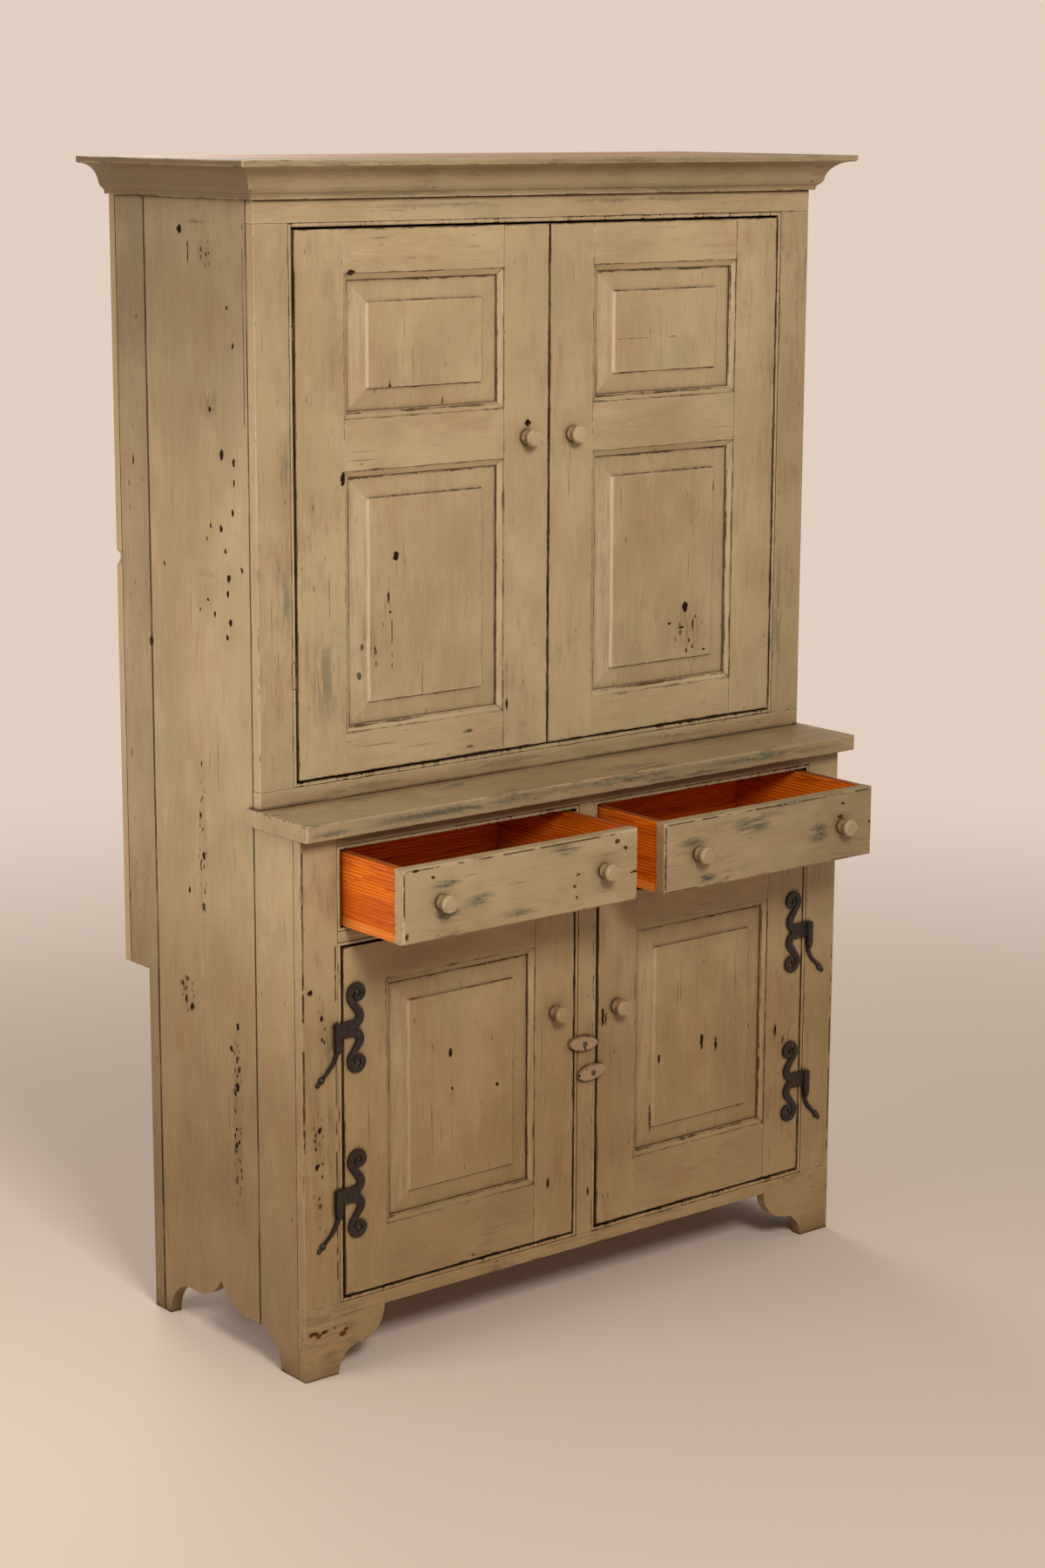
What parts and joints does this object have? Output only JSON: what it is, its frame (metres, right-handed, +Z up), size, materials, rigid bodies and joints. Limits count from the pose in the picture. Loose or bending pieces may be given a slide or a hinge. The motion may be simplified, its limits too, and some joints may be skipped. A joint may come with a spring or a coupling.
{
  "type": "step-back cupboard",
  "caption": "Step-back pine cupboard in distressed olive-tan paint: raised-panel doors above and below, drawers under a step top, moulded cornice, scrolled iron hinges and bracket feet.",
  "frame": {"origin": "on the floor, at the centre of the whole piece's plan as it stands, with both drawers part open", "axes": "+Z up, front towards -Y, +X to the right as seen from the front"},
  "size_m": [1.322, 0.7246, 1.98],
  "materials": {
    "black_iron": "black wrought iron, matt and slightly pitted",
    "painted_iron": "iron butt hinges painted over with the beads",
    "screw_steel": "dull dark screw heads",
    "worn_button_paint": "pale worn paint with dark chips, rounded edges",
    "drawer_pine": "unpainted orange pine with a strong straight grain",
    "drawer_bottom_pine": "darker unpainted pine",
    "raw_pine": "bare or thinly washed pine boards",
    "side_paint": "olive-tan paint, distressed, with dark pits and glazed joints",
    "panel_paint": "olive-tan paint, distressed, dark glaze in the quirks",
    "knob_paint": "olive-tan paint, worn on the rims",
    "bead_paint": "olive-tan paint, rubbed pale along the bead",
    "frame_paint": "olive-tan paint with vertical grain, chips and dark glaze in the joints"
  },
  "bodies": {
    "case": {"left_side_board": "side_paint", "right_side_board": "side_paint", "left_rear_side_board": "side_paint", "right_rear_side_board": "side_paint", "left_front_side_board": "side_paint", "right_front_side_board": "side_paint", "front_base_board": "frame_paint", "lower_stiles": "frame_paint", "centre_stile": "frame_paint", "lower_rails": "frame_paint", "upper_stiles": "frame_paint", "upper_rails": "frame_paint", "step_top": "frame_paint", "upper_deck": "raw_pine", "upper_shelves": "raw_pine", "lower_shelf": "raw_pine", "bottom_board": "raw_pine", "shelf_cleats": "raw_pine", "top_boards": "raw_pine", "cornice_front": "frame_paint", "cornice_returns": "frame_paint", "upper_back_boards": "raw_pine", "lower_back_boards": "raw_pine", "back_ledge": "raw_pine", "drawer_runners": "raw_pine", "upper_beads": "bead_paint", "lower_beads": "bead_paint", "upper_hinge_frame_leaves": "painted_iron", "rat_tail_pintles": "black_iron", "turn_button_screws": "screw_steel"},
    "left_drawer": {"left_drawer_front": "frame_paint", "left_drawer_box": "drawer_pine", "left_drawer_bottom": "drawer_bottom_pine", "left_drawer_knobs": "knob_paint"},
    "right_drawer": {"right_drawer_front": "frame_paint", "right_drawer_box": "drawer_pine", "right_drawer_bottom": "drawer_bottom_pine", "right_drawer_knobs": "knob_paint"},
    "upper_left_door": {"upper_left_door_stiles": "frame_paint", "upper_left_door_rails": "frame_paint", "upper_left_door_panels": "panel_paint", "upper_left_door_knob": "knob_paint", "upper_left_door_hinge_leaves": "painted_iron"},
    "upper_right_door": {"upper_right_door_stiles": "frame_paint", "upper_right_door_rails": "frame_paint", "upper_right_door_panels": "panel_paint", "upper_right_door_knob": "knob_paint", "upper_right_door_hinge_leaves": "painted_iron"},
    "lower_left_door": {"lower_left_door_stiles": "frame_paint", "lower_left_door_rails": "frame_paint", "lower_left_door_panel": "panel_paint", "lower_left_door_knob": "knob_paint", "lower_left_door_hinge_leaves": "black_iron"},
    "lower_right_door": {"lower_right_door_stiles": "frame_paint", "lower_right_door_rails": "frame_paint", "lower_right_door_panel": "panel_paint", "lower_right_door_knob": "knob_paint", "lower_right_door_hinge_leaves": "black_iron"},
    "upper_turn_button": {"upper_turn_button": "worn_button_paint"},
    "lower_turn_button": {"lower_turn_button": "worn_button_paint"}
  },
  "joints": [
    {"name": "left_drawer_slide", "type": "slide", "parent": "case", "child": "left_drawer", "axis": [0, -1, 0], "range_m": [-0.163, 0.105]},
    {"name": "right_drawer_slide", "type": "slide", "parent": "case", "child": "right_drawer", "axis": [0, -1, 0], "range_m": [-0.17, 0.08]},
    {"name": "upper_left_hinge", "type": "hinge", "parent": "case", "child": "upper_left_door", "pos_m": [-0.5305, -0.05225, 1.43], "axis": [0, 0, -1], "range_deg": [0, 110]},
    {"name": "upper_right_hinge", "type": "hinge", "parent": "case", "child": "upper_right_door", "pos_m": [0.5305, -0.05225, 1.43], "axis": [0, 0, 1], "range_deg": [0, 110]},
    {"name": "lower_left_hinge", "type": "hinge", "parent": "case", "child": "lower_left_door", "pos_m": [-0.5327, -0.17135, 0.45], "axis": [0, 0, -1], "range_deg": [0, 150]},
    {"name": "lower_right_hinge", "type": "hinge", "parent": "case", "child": "lower_right_door", "pos_m": [0.5327, -0.17135, 0.45], "axis": [0, 0, 1], "range_deg": [0, 150]},
    {"name": "upper_button_turn", "type": "hinge", "parent": "case", "child": "upper_turn_button", "pos_m": [-0.009, -0.16985, 0.475], "axis": [0, -1, 0], "continuous": true},
    {"name": "lower_button_turn", "type": "hinge", "parent": "case", "child": "lower_turn_button", "pos_m": [0.011, -0.16985, 0.4195], "axis": [0, -1, 0], "continuous": true}
  ]
}
